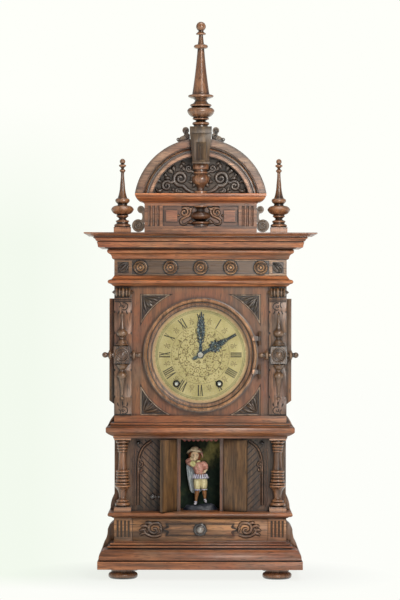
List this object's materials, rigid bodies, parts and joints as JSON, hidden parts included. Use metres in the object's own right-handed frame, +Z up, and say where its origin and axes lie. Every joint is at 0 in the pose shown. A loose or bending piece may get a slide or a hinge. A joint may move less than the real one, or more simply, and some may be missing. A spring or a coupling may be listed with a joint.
{
  "type": "trumpeter clock",
  "caption": "Mantel clock in a carved and turned wooden case, with a brass dial over a small stage where a trumpeter stands between hinged door leaves.",
  "frame": {"origin": "on the floor under the middle of the clock's outline", "axes": "+Z up, front towards -Y, +X to the right seen from the front"},
  "size_m": [0.4146, 0.2428, 0.9995],
  "materials": {
    "walnut": "oiled walnut with an orange-brown glow on flat mouldings",
    "walnut_dark": "darker walnut on carved panels",
    "walnut_turned": "turned walnut, polished to a low gloss",
    "pine": "plain pine of the inner works",
    "brass": "lacquered brass",
    "dial_brass": "pale engraved brass with a matt ground",
    "blued_steel": "blued steel",
    "steel": "bright steel",
    "glass": "clear flat glass",
    "dark_knob": "black polished knob",
    "slate": "dark slate-coloured stand",
    "figure_paint": "painted cast figure",
    "backdrop_paint": "painted backdrop",
    "leather": "thin tan leather"
  },
  "bodies": {
    "case": {"bun_feet": "walnut", "plinth": "walnut", "drawer_case": "walnut_dark", "shelf": "walnut", "columns": "walnut_turned", "lower_walls": "walnut_dark", "lattice_panels": "walnut_dark", "stage_box": "walnut_dark", "backdrop": "backdrop_paint", "figure_stand": "slate", "trumpeter": "figure_paint", "trumpet": "brass", "side_consoles": "walnut_dark", "mid_moulding": "walnut", "seat_board": "pine", "main_walls": "walnut", "front_panel": "walnut", "pilasters": "walnut", "pilaster_turnings": "walnut_turned", "hinges": "brass", "dial": "dial_brass", "movement_plates": "brass", "pillars": "brass", "barrels": "brass", "pendulum_cock": "brass", "wind_chest": "pine", "bellows_leather": "leather", "horns": "brass", "architrave": "walnut", "frieze": "walnut_dark", "cornice": "walnut", "pediment_block": "walnut_dark", "arch_base": "walnut", "arch": "walnut", "tympanum": "walnut_dark", "keystone": "walnut_dark", "half_vases": "walnut_turned", "finials": "walnut_turned", "scroll_carvings": "walnut_dark"},
    "drawer": {"drawer_box": "walnut", "drawer_knob": "dark_knob"},
    "bezel_door": {"bezel": "walnut", "bezel_glass": "glass"},
    "minute_train": {"minute_hand": "blued_steel", "hand_nut": "steel", "centre_arbor": "brass"},
    "hour_train": {"hour_hand": "blued_steel", "hour_wheel": "brass"},
    "motion_wheel": {"minute_wheel": "brass"},
    "stage_leaf_left": {"door_leaf_left": "walnut", "door_knob": "dark_knob"},
    "stage_leaf_right": {"door_leaf_right": "walnut"},
    "side_leaf_left": {"side_door_left": "walnut"},
    "side_leaf_right": {"side_door_right": "walnut"},
    "back_leaf": {"back_door": "pine"},
    "back_catch": {"turn_button": "brass"},
    "winder_left": {"winding_arbor_left": "steel"},
    "winder_right": {"winding_arbor_right": "steel"},
    "pendulum_swing": {"pendulum": "brass"},
    "bellows_lid": {"bellows_board": "pine"}
  },
  "joints": [
    {"name": "drawer_slide", "type": "slide", "parent": "case", "child": "drawer", "axis": [0, -1, 0], "range_m": [0, 0.105]},
    {"name": "bezel_hinge", "type": "hinge", "parent": "case", "child": "bezel_door", "pos_m": [0.1062, -0.076, 0.402], "axis": [0, 0, 1], "range_deg": [0, 90]},
    {"name": "minute_turn", "type": "hinge", "parent": "case", "child": "minute_train", "pos_m": [0, -0.061, 0.402], "axis": [0, 1, 0], "continuous": true},
    {"name": "hour_turn", "type": "hinge", "parent": "case", "child": "hour_train", "pos_m": [0, -0.059, 0.402], "axis": [0, 1, 0], "continuous": true},
    {"name": "motion_turn", "type": "hinge", "parent": "case", "child": "motion_wheel", "pos_m": [0, -0.035, 0.42], "axis": [0, 1, 0], "continuous": true},
    {"name": "stage_left", "type": "hinge", "parent": "case", "child": "stage_leaf_left", "pos_m": [-0.044, -0.046, 0.18], "axis": [0, 0, 1], "range_deg": [0, 126]},
    {"name": "stage_right", "type": "hinge", "parent": "case", "child": "stage_leaf_right", "pos_m": [0.044, -0.046, 0.18], "axis": [0, 0, -1], "range_deg": [0, 156]},
    {"name": "side_left", "type": "hinge", "parent": "case", "child": "side_leaf_left", "pos_m": [-0.1609, 0.1042, 0.4], "axis": [0, 0, -1], "range_deg": [0, 110]},
    {"name": "side_right", "type": "hinge", "parent": "case", "child": "side_leaf_right", "pos_m": [0.1609, 0.1042, 0.4], "axis": [0, 0, 1], "range_deg": [0, 110]},
    {"name": "back_hinge", "type": "hinge", "parent": "case", "child": "back_leaf", "pos_m": [-0.1377, 0.1128, 0.4], "axis": [0, 0, 1], "range_deg": [0, 100]},
    {"name": "catch_turn", "type": "hinge", "parent": "case", "child": "back_catch", "pos_m": [0.1125, 0.1176, 0.5165], "axis": [0, 1, 0], "range_deg": [0, 90]},
    {"name": "wind_left", "type": "hinge", "parent": "case", "child": "winder_left", "pos_m": [-0.043, -0.05, 0.35], "axis": [0, 1, 0], "continuous": true},
    {"name": "wind_right", "type": "hinge", "parent": "case", "child": "winder_right", "pos_m": [0.034, -0.05, 0.35], "axis": [0, 1, 0], "continuous": true},
    {"name": "pendulum_swing", "type": "hinge", "parent": "case", "child": "pendulum_swing", "pos_m": [0, 0.0375, 0.454], "axis": [0, 1, 0], "range_deg": [-4, 4]},
    {"name": "bellows_lift", "type": "hinge", "parent": "case", "child": "bellows_lid", "pos_m": [-0.11, 0.063, 0.1534], "axis": [0, -1, 0], "range_deg": [0, 12], "deforming": ["bellows_leather"]}
  ],
  "couplings": [
    {"joint": "hour_turn", "follows": "minute_turn", "ratio": 0.083333},
    {"joint": "motion_turn", "follows": "minute_turn", "ratio": -0.33333},
    {"joint": "stage_right", "follows": "stage_left", "ratio": 1.2381}
  ]
}
